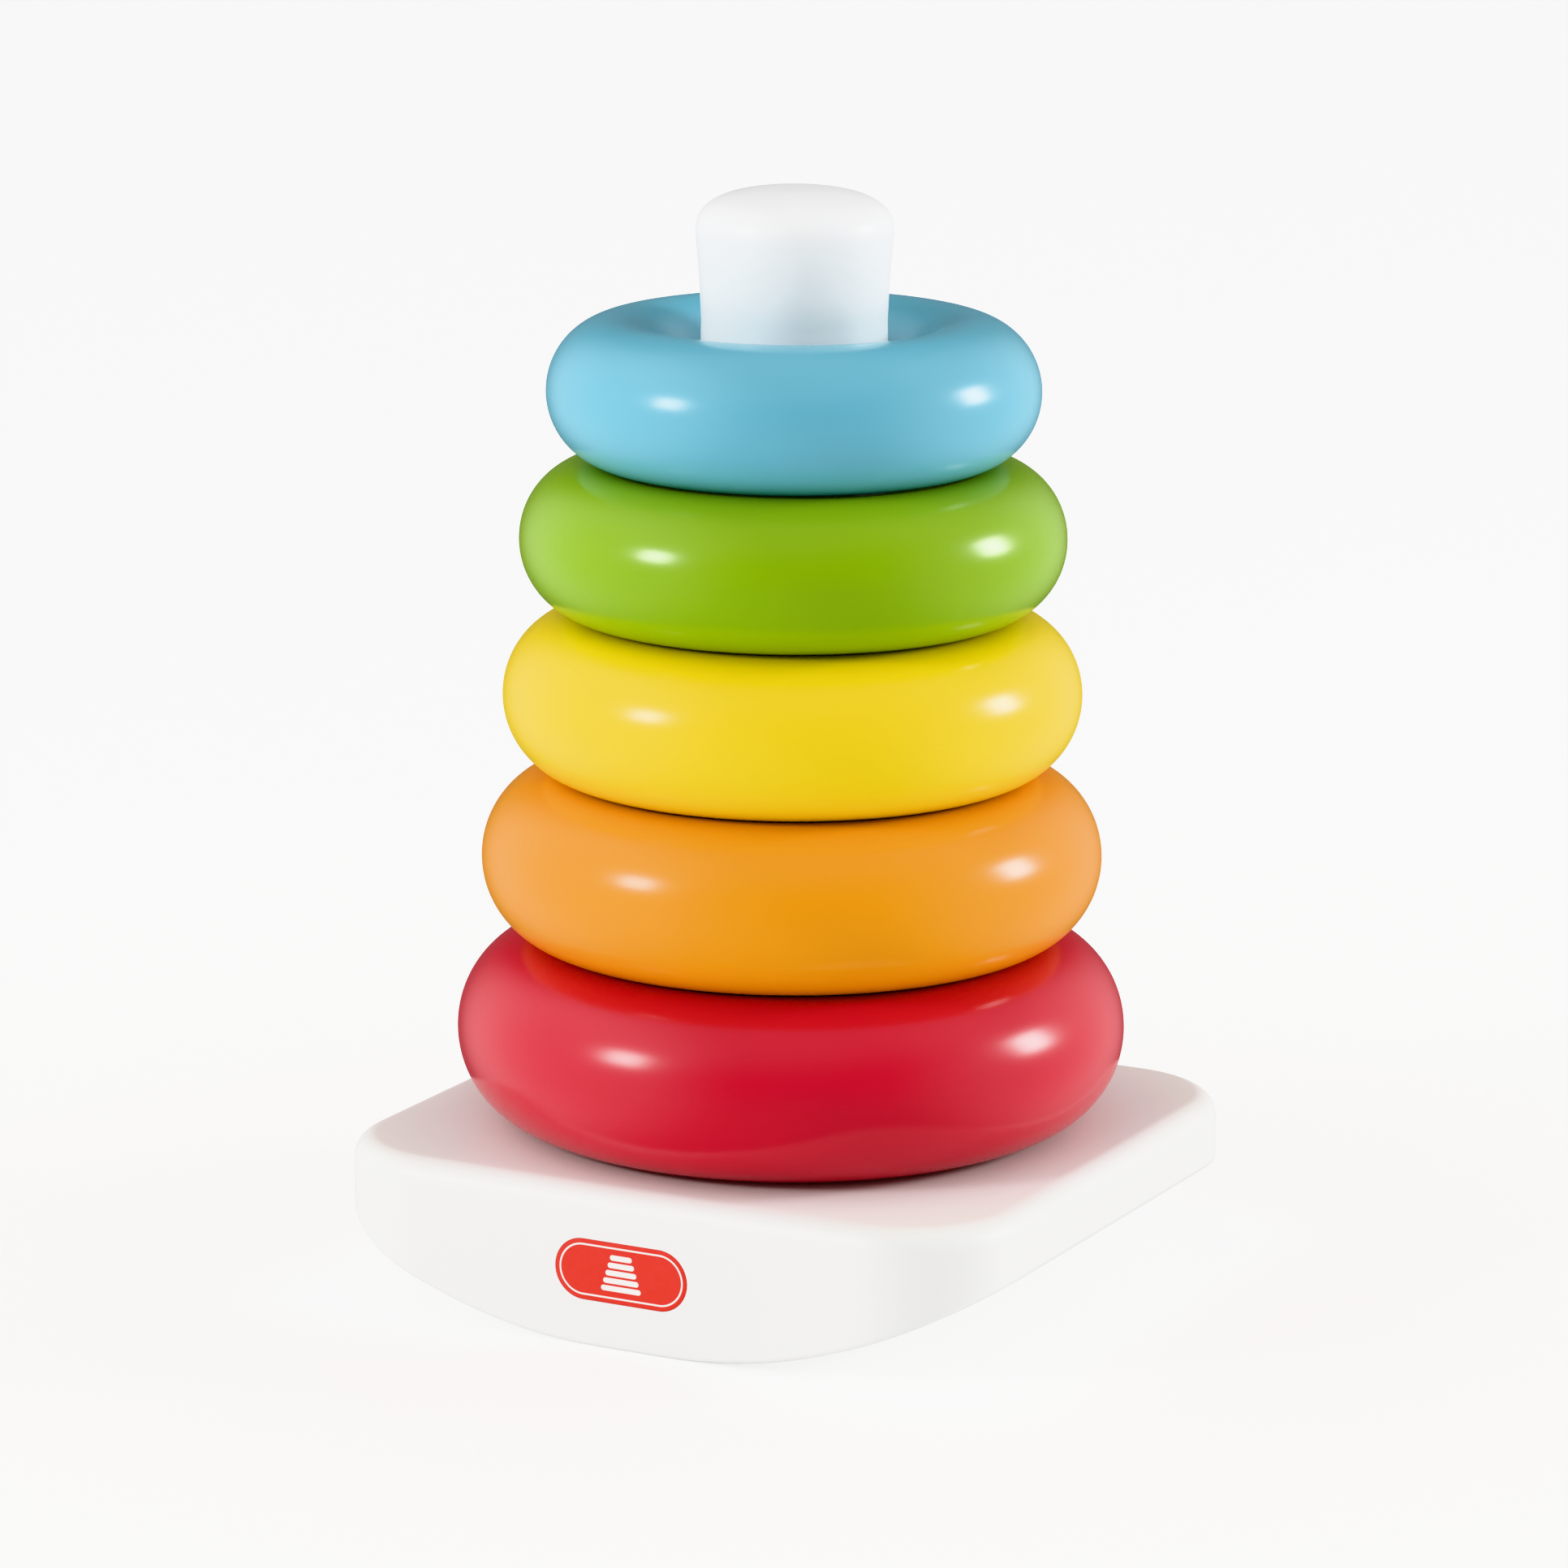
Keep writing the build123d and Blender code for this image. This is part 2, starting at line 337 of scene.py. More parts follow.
# %% Make a moulded plastic
PLASTIC_IOR = 1.5


def linear(red, green, blue):
    """Display colour, 0 to 255, as the linear colour that a shader takes."""
    def channel(value):
        share = value / 255
        return share / 12.92 if share <= 0.04045 else ((share + 0.055) / 1.055) ** 2.4
    return (channel(red), channel(green), channel(blue), 1.0)


def moulded_plastic(name, pigment, thick, rough, spread, grain, bump, **scales):
    """Material for one moulded plastic. scales sets any other input of the surface group."""
    material = bpy.data.materials.new(name)
    material.use_nodes = True
    nodes, links = material.node_tree.nodes, material.node_tree.links
    shader = nodes["Principled BSDF"]
    place_node = nodes.new("ShaderNodeTexCoord")
    surface = nodes.new("ShaderNodeGroup")
    surface.node_tree = MOULDED
    links.new(place_node.outputs["Object"], surface.inputs["Position"])
    surface.inputs["Pigment"].default_value = pigment
    surface.inputs["Thick Pigment"].default_value = thick
    surface.inputs["Roughness"].default_value = rough
    surface.inputs["Roughness Spread"].default_value = spread
    surface.inputs["Grain Share"].default_value = grain
    for socket, value in scales.items():
        surface.inputs[socket.replace("_", " ").title()].default_value = value
    links.new(surface.outputs["Colour"], shader.inputs["Base Color"])
    links.new(surface.outputs["Roughness"], shader.inputs["Roughness"])
    bump_node = nodes.new("ShaderNodeBump")
    bump_node.inputs["Strength"].default_value = 1.0
    bump_node.inputs["Distance"].default_value = bump
    links.new(surface.outputs["Height"], bump_node.inputs["Height"])
    links.new(bump_node.outputs["Normal"], shader.inputs["Normal"])
    shader.inputs["IOR"].default_value = PLASTIC_IOR
    return material


# %% [markdown]
# ## Five ring colours
# The rings are dyed through, with a satin gloss: the highlight is blurred, not a mirror. A second
# clear layer over a flat colour would shine too hard, as paint does. Each colour here is a pigment
# and the same pigment a little deeper, which the group mixes, under one soft gloss.

# %% Ring finishes
RING_COLOURS = {
    "red": ((196, 36, 53), (188, 31, 49)),
    "orange": ((232, 153, 12), (227, 144, 10)),
    "yellow": ((241, 210, 4), (237, 203, 3)),
    "green": ((133, 171, 12), (126, 164, 9)),
    "blue": ((108, 177, 197), (101, 170, 192)),
}
ring_finish = {}
for colour, (pigment, thick) in RING_COLOURS.items():
    ring_finish[colour] = moulded_plastic(
        f"{colour}_ring_plastic", linear(*pigment), linear(*thick),
        rough=0.22, spread=0.06, grain=0.12, bump=0.02 * MM,
    )
print("ring finishes:", ", ".join(ring_finish))

# %% [markdown]
# ## The rings
# The five rings differ in size and colour and in nothing else. Each could be typed in with its own
# numbers, but those would part from the frame as soon as it changed. The frame says how wide each
# ring is and where its top and bottom are, so the oval comes from there. Only the hole's radius is
# listed.

# %% Make the ring shells
HOLE_RADIUS = {"red": 30.74, "orange": 28.23, "yellow": 24.88, "green": 23.53, "blue": 19.25}

for colour, hole in HOLE_RADIUS.items():
    low_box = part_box(f"{colour}_ring_lower_shell")
    high_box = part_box(f"{colour}_ring_upper_shell")
    outer = high_box[1].x
    bottom, top = low_box[0].z, high_box[1].z
    half_width = (outer - hole * MM) / 2
    half_height = (top - bottom) / 2
    for half in ("lower", "upper"):
        name = f"{colour}_ring_{half}_moulding"
        mesh = turn_round_post(
            name, shell_section(half_width, half_height, half == "upper"),
            outer - half_width, (top + bottom) / 2, ring_finish[colour],
        )
        place(name, mesh, f"{colour}_ring", f"{colour}_ring_{half}_shell")

# %% [markdown]
# ## White mouldings
# The base and the post are a softer white plastic from a mould with a fine eroded texture, so they
# shine less than the rings. Plain white with a high roughness would look like chalk. Fine grain and
# a middling roughness keep a broad soft sheen. The post is a little whiter and smoother.

# %% White finishes
base_white = moulded_plastic(
    "white_base_plastic", linear(234, 234, 232), linear(231, 231, 229),
    rough=0.42, spread=0.06, grain=0.6, bump=0.02 * MM, grain_scale=1600.0,
)
post_white = moulded_plastic(
    "white_post_plastic", linear(244, 244, 244), linear(241, 241, 242),
    rough=0.34, spread=0.05, grain=0.4, bump=0.02 * MM, grain_scale=1400.0,
)
print("white finishes:", base_white.name, post_white.name)

# %% [markdown]
# ## The post
# The post is a hollow turned shape: an open foot with a flange that the base traps, a slightly
# tapered shaft, and a soft knob that flares at the top. It could be a cylinder scaled ring by ring
# in the viewport, but the taper has to match the holes of the rings, so each part of its outline is
# a small formula. The knob's top is a superellipse, which is flatter on top than an oval.


# %% Pieces of the outline
KNOB_SHAPE = 2.63
ROUND_STEPS = 160


def smooth_path(points, steps):
    """Catmull-Rom curve through the points, without its last point."""
    path = []
    for i in range(len(points) - 1):
        before = Vector(points[max(i - 1, 0)])
        start, end = Vector(points[i]), Vector(points[i + 1])
        after = Vector(points[min(i + 2, len(points) - 1)])
        for k in range(steps):
            t = k / steps
            p = 2 * start + (end - before) * t
            p += (2 * before - 5 * start + 4 * end - after) * t**2
            p += (3 * start - before - 3 * end + after) * t**3
            path.append(tuple(p / 2))
    return path


def straight_path(start, end, steps):
    """Evenly spaced points from start towards end, without the end."""
    return [tuple(Vector(start).lerp(Vector(end), i / steps)) for i in range(steps)]


def knob_top(radius, height, base_z, steps):
    """Superellipse from the knob's widest point to just short of its crown."""
    turn = [pi / 2 * i / steps for i in range(steps)]
    power = 2 / KNOB_SHAPE
    return [(radius * cos(t) ** power, base_z + height * sin(t) ** power) for t in turn]


def level_loop(radius, z, steps=ROUND_STEPS):
    """Circle about the post."""
    turn = [2 * pi * k / steps for k in range(steps)]
    return [(radius * cos(t), radius * sin(t), z) for t in turn]


# %% [markdown]
# ## The post's skin
# On the real post the wall is even from the foot to the waist and thicker at the crown. A solidify
# modifier would give the outside a wall too, but the flange would grow an inside that isn't there.
# So the outside and the inside are drawn apart. The loops run from the outer crown down the
# outside, round the foot and up the inside to the inner crown.

# %% Turn the post
POST_WALL = 2.0 * MM
KNOB_RADIUS = 17.76 * MM
KNOB_HEIGHT = 8.0 * MM
CROWN_EXTRA = 1.0 * MM
SHAFT_STEPS, NECK_STEPS, KNOB_STEPS = 12, 6, 28
SHAFT_FOOT = (20.0 * MM, 29.3 * MM)
WAIST = (16.7 * MM, 176.2 * MM)
NECK = [(16.88 * MM, 180.0 * MM), (17.06 * MM, 184.0 * MM), (17.38 * MM, 187.6 * MM)]
FLANGE_RADIUS = 25.0 * MM
FLANGE_LOW, FLANGE_HIGH = 18.0 * MM, 20.0 * MM

foot_z, top_z = (corner.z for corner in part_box("post"))
knob_z = top_z - KNOB_HEIGHT
foot = SHAFT_FOOT[0]
outside = [(foot, foot_z), (foot, FLANGE_LOW), (FLANGE_RADIUS, FLANGE_LOW),
           (FLANGE_RADIUS, FLANGE_HIGH), (foot, FLANGE_HIGH)]
outside += straight_path(SHAFT_FOOT, WAIST, SHAFT_STEPS)
outside += smooth_path([WAIST, *NECK, (KNOB_RADIUS, knob_z)], NECK_STEPS)
outside += knob_top(KNOB_RADIUS, KNOB_HEIGHT, knob_z, KNOB_STEPS)
inside_waist = (WAIST[0] - POST_WALL, WAIST[1])
inside_crown = KNOB_HEIGHT - POST_WALL - CROWN_EXTRA
inside = [(foot - POST_WALL, foot_z)]
inside += straight_path((foot - POST_WALL, SHAFT_FOOT[1]), inside_waist, SHAFT_STEPS)
inside += [inside_waist] + knob_top(inside_waist[0], inside_crown, knob_z, KNOB_STEPS)
post_loops = [level_loop(r, z) for r, z in outside[::-1] + inside]
post_crowns = ((0, 0, top_z), (0, 0, knob_z + inside_crown))
post_mesh = finish_mesh(skin("post_moulding", post_loops, post_crowns))
post_mesh.materials.append(post_white)
place("post_moulding", post_mesh, "base", "post")

# %% [markdown]
# ## The plan of the base
# Seen from above, the base is a rounded square whose sides bulge by less than half a millimetre. A
# bevelled box would have flat sides and a kink where the bevel starts, and a kink shows in the
# light along a wall. Here each side is a very wide arc, and each corner a small one that meets it
# in the same direction. Every point keeps its outward direction, so the wall can be offset by any
# amount.

# %% Points round the plan
BASE_CORNER = 21.6 * MM
SIDE_BOW = 0.45 * MM
SIDE_STEPS = 14
CORNER_STEPS = 16
CORNER_ROUNDS = 8


def arc_points(centre, radius, start, end, steps):
    """Points and outward directions along an arc, without its end."""
    turn = [start + (end - start) * i / steps for i in range(steps)]
    ways = [Vector((cos(t), sin(t))) for t in turn]
    return [(Vector(centre) + radius * way, way) for way in ways]


def base_plan(half_x, half_y):
    """Points and outward directions round the base, anticlockwise from +X. The corner's centre has
    to suit both sides, so it is found by closing in on it from each side in turn."""
    wide_x = ((half_y - SIDE_BOW) ** 2 + SIDE_BOW**2) / (2 * SIDE_BOW)
    wide_y = ((half_x - SIDE_BOW) ** 2 + SIDE_BOW**2) / (2 * SIDE_BOW)
    centre_x, centre_y = half_x - wide_x, half_y - wide_y
    x, y = half_x - BASE_CORNER, half_y - BASE_CORNER
    for _ in range(CORNER_ROUNDS):
        y = centre_y + sqrt((wide_y - BASE_CORNER) ** 2 - x**2)
        x = centre_x + sqrt((wide_x - BASE_CORNER) ** 2 - y**2)
    low, high = atan2(y, x - centre_x), atan2(y - centre_y, x)
    quarter = arc_points((centre_x, 0), wide_x, 0, low, SIDE_STEPS)
    quarter += arc_points((x, y), BASE_CORNER, low, high, CORNER_STEPS)
    quarter += arc_points((0, centre_y), wide_y, high, pi / 2, SIDE_STEPS)
    top = (Vector((0, half_y)), Vector((0, 1)))
    back = [(Vector((-p.x, p.y)), Vector((-w.x, w.y))) for p, w in reversed(quarter[1:])]
    upper = quarter + [top] + back
    lower = [(Vector((-p.x, -p.y)), Vector((-w.x, -w.y))) for p, w in upper]
    return upper + lower


base_low, base_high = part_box("base_top_shell")
PLAN = base_plan(base_high.x, (base_high.y - base_low.y) / 2)
print("plan points", len(PLAN), "base height", round(base_high.z, 4))

# %% [markdown]
# ## The rocking underside
# The base rocks from side to side. Seen from the front, its underside is a flat strip in the middle
# and two arcs on each side, the outer one wider. A bend modifier would curve it too, but with one
# radius and no flat to stand on. It curves in one direction only, so its height is a function of X
# alone, and every loop of the walls can ask for it.

# %% Height of the underside
FLAT_HALF = 7.1 * MM
INNER_ARC = 98.0 * MM
INNER_TURN = radians(18.0)
OUTER_ARC = 163.0 * MM


def rocker_z(x):
    """Height of the underside at a distance from the middle."""
    run = max(abs(x) - FLAT_HALF, 0.0)
    if run <= INNER_ARC * sin(INNER_TURN):
        return INNER_ARC - sqrt(INNER_ARC**2 - run**2)
    wider = OUTER_ARC - INNER_ARC
    run += wider * sin(INNER_TURN)
    return INNER_ARC + wider * cos(INNER_TURN) - sqrt(OUTER_ARC**2 - run**2)


print("underside rises", round(rocker_z(base_high.x) / MM, 1), "mm at the ends")

# %% [markdown]
# ## The base's top shell
# One moulding holds the top, the walls and a socket for the post, and is open below. A box cut by
# booleans would need every edge rounded afterwards, and its rolled top edge would meet the corners
# badly. So it is lofted like the other pieces. The loops start at the socket's bottom, cross the
# top face from the round hole to the square plan, roll over the top edge, run down the wall to the
# rocking curve, and come back inside. They change from a circle to the plan across the flat top,
# where nothing shows it.

# %% Loops of the base
BASE_WALL = 2.4 * MM
TOP_SKIN = 2.2 * MM
TOP_EDGE = 4.3 * MM
BOTTOM_EDGE = 1.2 * MM
SOCKET_RADIUS = 20.25 * MM
SOCKET_WALL = 2.0 * MM
HOLE_EDGE = 0.3 * MM
FACE_STEPS, ROLL_STEPS, WALL_STEPS, EASE_STEPS, INSIDE_ROLL_STEPS = 8, 10, 8, 6, 4


def plan_loop(inset, height):
    """The plan moved in by inset. height is a number, or a function of the point."""
    loop = []
    for point, way in PLAN:
        p = point - inset * way
        loop.append((p.x, p.y, height(p) if callable(height) else height))
    return loop


def hole_loop(radius, z):
    """Circle about the post whose points face those of the plan."""
    return [(*(point.normalized() * radius), z) for point, _ in PLAN]


def between(first, second, share):
    """Loop part of the way from one loop to another."""
    return [tuple(Vector(a).lerp(Vector(b), share)) for a, b in zip(first, second)]


def quarter_turn(steps):
    """Angles of a quarter turn, both ends included."""
    return [pi / 2 * i / steps for i in range(steps + 1)]


def underside(raised=0.0):
    """Function that gives the underside's height above a point, raised by a distance."""
    return lambda p: rocker_z(p.x) + raised


# %% Loft the top shell
def make_base_top():
    """Closed wall of the top, the sides and the socket."""
    top, skin_z = base_high.z, base_high.z - TOP_SKIN
    hole = [hole_loop(SOCKET_RADIUS, FLANGE_HIGH), hole_loop(SOCKET_RADIUS, top - HOLE_EDGE),
            hole_loop(SOCKET_RADIUS + HOLE_EDGE, top)]
    rim = plan_loop(TOP_EDGE, top)
    face = [between(hole[-1], rim, i / FACE_STEPS) for i in range(1, FACE_STEPS)]
    roll = [plan_loop(TOP_EDGE * (1 - sin(t)), top - TOP_EDGE * (1 - cos(t)))
            for t in quarter_turn(ROLL_STEPS)]
    foot_loop = plan_loop(0.0, underside(BOTTOM_EDGE))
    wall = [between(roll[-1], foot_loop, i / WALL_STEPS) for i in range(1, WALL_STEPS + 1)]
    ease = [plan_loop(BOTTOM_EDGE * (1 - cos(t)), underside(BOTTOM_EDGE * (1 - sin(t))))
            for t in quarter_turn(EASE_STEPS)[1:]]
    land = [plan_loop(BASE_WALL, underside())]
    radius = TOP_EDGE - BASE_WALL
    inside = [plan_loop(BASE_WALL + radius * (1 - cos(t)), skin_z - radius * (1 - sin(t)))
              for t in quarter_turn(INSIDE_ROLL_STEPS)]
    collar = [hole_loop(SOCKET_RADIUS + SOCKET_WALL, z) for z in (skin_z, FLANGE_HIGH)]
    return skin("base_top_moulding", hole + face + roll + wall + ease + land + inside + collar)


base_walls = make_base_top()
print("base walls", len(base_walls.polygons), "faces")

# %% [markdown]
# ## Ribs and bosses inside the base
# Thin walls are stiffened by ribs, and four bosses take the bottom plate's pins. They are only
# seen when the toy comes apart, but a moulding without them would be a shell that warps. They could
# be united with the walls by booleans. Each is a closed solid that bites a little into the skin
# instead, which looks the same, as nothing shows where two closed meshes of one colour cross.

# %% Add the ribs and bosses
RIB = 1.6 * MM
RIB_DEPTH = 4.5 * MM
BOSS_X, BOSS_Y = 42.0 * MM, 40.0 * MM
BOSS_RADIUS, BOSS_HOLE = 3.6 * MM, 1.9 * MM
BOSS_LOW = 15.0 * MM
BOSS_STEPS = 32
BITE = 0.2 * MM


def bar_mesh(low, high):
    """Rectangular bar between two corners."""
    loops = [[(low[0], low[1], z), (high[0], low[1], z), (high[0], high[1], z), (low[0], high[1], z)]
             for z in (low[2], high[2])]
    middle = Vector(low).lerp(Vector(high), 0.5)
    return skin("bar", loops, [(middle.x, middle.y, z) for z in (low[2], high[2])])


def tube_mesh(x, y, outer, inner, low, high):
    """Upright tube."""
    corners = ((inner, low), (outer, low), (outer, high), (inner, high))
    loops = [level_loop(radius, z, BOSS_STEPS) for radius, z in corners]
    return skin("tube", [[(x + px, y + py, pz) for px, py, pz in loop] for loop in loops])


def inside_parts():
    """Four ribs from the socket to the walls, and four bosses."""
    low, high = base_high.z - TOP_SKIN - RIB_DEPTH, base_high.z - TOP_SKIN + BITE
    collar = SOCKET_RADIUS + SOCKET_WALL - BITE
    reach_x, reach_y = base_high.x - BASE_WALL + BITE, base_high.y - BASE_WALL + BITE
    parts = []
    for side in (-1, 1):
        near, far = sorted((side * collar, side * reach_x))
        parts.append(bar_mesh((near, -RIB / 2, low), (far, RIB / 2, high)))
        near, far = sorted((side * collar, side * reach_y))
        parts.append(bar_mesh((-RIB / 2, near, low), (RIB / 2, far, high)))
        for end in (-1, 1):
            parts.append(tube_mesh(side * BOSS_X, end * BOSS_Y, BOSS_RADIUS, BOSS_HOLE, BOSS_LOW, high))
    return parts


base_insides = inside_parts()
print("ribs and bosses", len(base_insides))

# %% [markdown]
# ## The bottom plate
# The plate closes the base from below and carries the rocking curve: a curved sheet with a rim,
# ribs, a press ring and hollow pins. It could be lofted again like the walls, but the frame's own
# mesh already has all of that to size. So it keeps its mesh. Its triangles come loose, so a weld
# joins them and weighted normals keep its broad faces even. Both are modifiers, which leave the
# frame's mesh as it is.

# %% Finish the bottom plate
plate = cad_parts["base_rocker_plate"]
plate.data.materials.clear()
plate.data.materials.append(base_white)
weld = plate.modifiers.new("weld", "WELD")
weld.merge_threshold = 0.002 * MM
plate_shine = plate.modifiers.new("even_shine", "WEIGHTED_NORMAL")
plate_shine.keep_sharp = True
print("bottom plate modifiers:", ", ".join(m.name for m in plate.modifiers))

# %% [markdown]
# ## The badge and its recess
# On such toys a thin printed film lies in a shallow recess of the front wall, where little fingers
# can't peel it off. A decal on the wall would look much the same from the front, but it would have
# no edge to catch the light. So the film is a piece with round ends that follows the wall's slight
# bulge, and the recess is a little wider, which leaves a fine seam.

# %% Shape of the badge
BADGE_LENGTH = 26.5 * MM
BADGE_HEIGHT = 11.2 * MM
BADGE_MIDDLE = (-1.6 * MM, 14.3 * MM)
BADGE_THICKNESS = 0.3 * MM
BADGE_ROUND = 0.06 * MM
RECESS_GAP = 0.05 * MM
FRONT_ARC = ((base_high.x - SIDE_BOW) ** 2 + SIDE_BOW**2) / (2 * SIDE_BOW)


def front_wall_y(x):
    """Where the bulging front wall stands at a distance from its middle."""
    return base_low.y + FRONT_ARC - sqrt(FRONT_ARC**2 - x**2)


def badge_outline(inset, steps=24):
    """Round-ended outline, anticlockwise seen from the front."""
    radius = BADGE_HEIGHT / 2 - inset
    straight = BADGE_LENGTH / 2 - BADGE_HEIGHT / 2
    outline = []
    for side, start in ((1, -pi / 2), (-1, pi / 2)):
        turn = [start + pi * i / steps for i in range(steps + 1)]
        outline += [(side * straight + radius * cos(t), radius * sin(t)) for t in turn]
    return outline


def badge_loop(inset, depth):
    """The outline on the front wall, moved in by inset and sunk by depth."""
    middle_x, middle_z = BADGE_MIDDLE
    return [(middle_x + u, front_wall_y(middle_x + u) + depth, middle_z + v) for u, v in badge_outline(inset)]


def badge_crown(depth):
    """Middle of the badge, sunk by depth."""
    return (BADGE_MIDDLE[0], front_wall_y(BADGE_MIDDLE[0]) + depth, BADGE_MIDDLE[1])


print("badge outline", len(badge_outline(0.0)), "points")

# %% [markdown]
# ## Cutting the recess
# The recess is moulded with the wall. Loops could be led round it, but that would crowd the whole
# front with faces. It is the one cut in the base, in a broad plain wall, so a boolean does no harm
# there. The ribs and bosses join the walls after the cut, so that the boolean has less to solve.

# %% Cut the recess and finish the base
CUTTER_REACH = 1.0 * MM


def cut(mesh, cutter):
    """Copy of a mesh with the cutter taken away. Both are used up."""
    body, tool = show("cut_body", mesh), show("cut_tool", cutter)
    difference = body.modifiers.new("difference", "BOOLEAN")
    difference.operation = "DIFFERENCE"
    difference.solver = "EXACT"
    difference.object = tool
    graph = bpy.context.evaluated_depsgraph_get()
    result = bpy.data.meshes.new_from_object(body.evaluated_get(graph))
    for item in (body, tool):
        used = item.data
        bpy.data.objects.remove(item)
        bpy.data.meshes.remove(used)
    return result


def join(name, meshes):
    """One mesh from several closed ones, which are used up."""
    work = bmesh.new()
    for mesh in meshes:
        work.from_mesh(mesh)
        bpy.data.meshes.remove(mesh)
    joined = bpy.data.meshes.new(name)
    work.to_mesh(joined)
    work.free()
    return joined


recess_depths = (BADGE_THICKNESS + RECESS_GAP, -CUTTER_REACH)
recess = skin("badge_recess", [badge_loop(-RECESS_GAP, depth) for depth in recess_depths],
              [badge_crown(depth) for depth in recess_depths])
walls = cut(finish_mesh(base_walls), finish_mesh(recess))
base_mesh = finish_mesh(join("base_top_moulding", [walls, *base_insides]))
base_mesh.materials.clear()
base_mesh.materials.append(base_white)
place("base_top_moulding", base_mesh, "base", "base_top_shell")

# %% [markdown]
# ## The film
# The real film is die-cut, and its edge is very slightly rounded. A plain extrusion would have a
# hard edge that shows as a bright line. The loops of the film go from the middle of its back to its
# rim, round the edge, and in again across its face.

# %% Badge film
FACE_INSETS = (1.0 * MM, 3.0 * MM, 5.0 * MM)

film_loops = [badge_loop(inset, BADGE_THICKNESS) for inset in (*FACE_INSETS[::-1], 0.0)]
film_loops += [badge_loop(0.0, BADGE_ROUND), badge_loop(BADGE_ROUND / 4, BADGE_ROUND / 4)]
film_loops += [badge_loop(inset, 0.0) for inset in (BADGE_ROUND, *FACE_INSETS)]
film_crowns = (badge_crown(BADGE_THICKNESS), badge_crown(0.0))
badge_mesh = finish_mesh(skin("badge_film", film_loops, film_crowns))
print("badge film", len(badge_mesh.polygons), "faces")

# %% [markdown]
# ## The print on the badge
# The print is generic: a fine pale line inside the edge and a little tower of five bars, the toy's
# own shape. It could be a picture on the film or raised shapes, but a picture blurs close up and ink
# has no height. It is drawn from distances in the material instead: the line and the bars are all
# level bars with round ends, and ink lies where the distance to the nearest one is below zero.

# %% Badge print
RED_PRINT, DEEP_RED_PRINT = linear(216, 50, 32), linear(208, 44, 28)
PALE_PRINT = linear(246, 243, 240)
INK_EDGE = 0.03 * MM
MOTTLE_SCALE = 700.0
PRINT_ROUGHNESS = (0.3, 0.42)
LINE_INSET = 1.0 * MM
LINE_HALF_WIDTH = 0.16 * MM
BAR_PITCH = 1.42 * MM
BAR_HALF_HEIGHT = 0.5 * MM
BAR_LENGTHS = (4.0, 3.55, 3.1, 2.65, 2.2)


def distance_group():
    """Shader group: distance from a position to a level bar with round ends, negative inside."""
    tree = bpy.data.node_groups.new("round_bar_distance", "ShaderNodeTree")
    face = tree.interface
    for name in ("X", "Z", "Middle Z", "Half Straight", "Radius"):
        face.new_socket(name, in_out="INPUT", socket_type="NodeSocketFloat")
    face.new_socket("Distance", in_out="OUTPUT", socket_type="NodeSocketFloat")
    nodes, links = tree.nodes, tree.links
    given = nodes.new("NodeGroupInput").outputs
    out = nodes.new("NodeGroupOutput")
    beyond = math_node(tree, "SUBTRACT", math_node(tree, "ABSOLUTE", given["X"]), given["Half Straight"])
    past_x = math_node(tree, "MAXIMUM", beyond, 0.0)
    off_z = math_node(tree, "SUBTRACT", given["Z"], given["Middle Z"])
    squares = [math_node(tree, "MULTIPLY", side, side) for side in (past_x, off_z)]
    length = math_node(tree, "SQRT", math_node(tree, "ADD", *squares))
    links.new(math_node(tree, "SUBTRACT", length, given["Radius"]), out.inputs["Distance"])
    return tree


ROUND_BAR = distance_group()
print("round bar distance:", len(ROUND_BAR.nodes), "nodes")


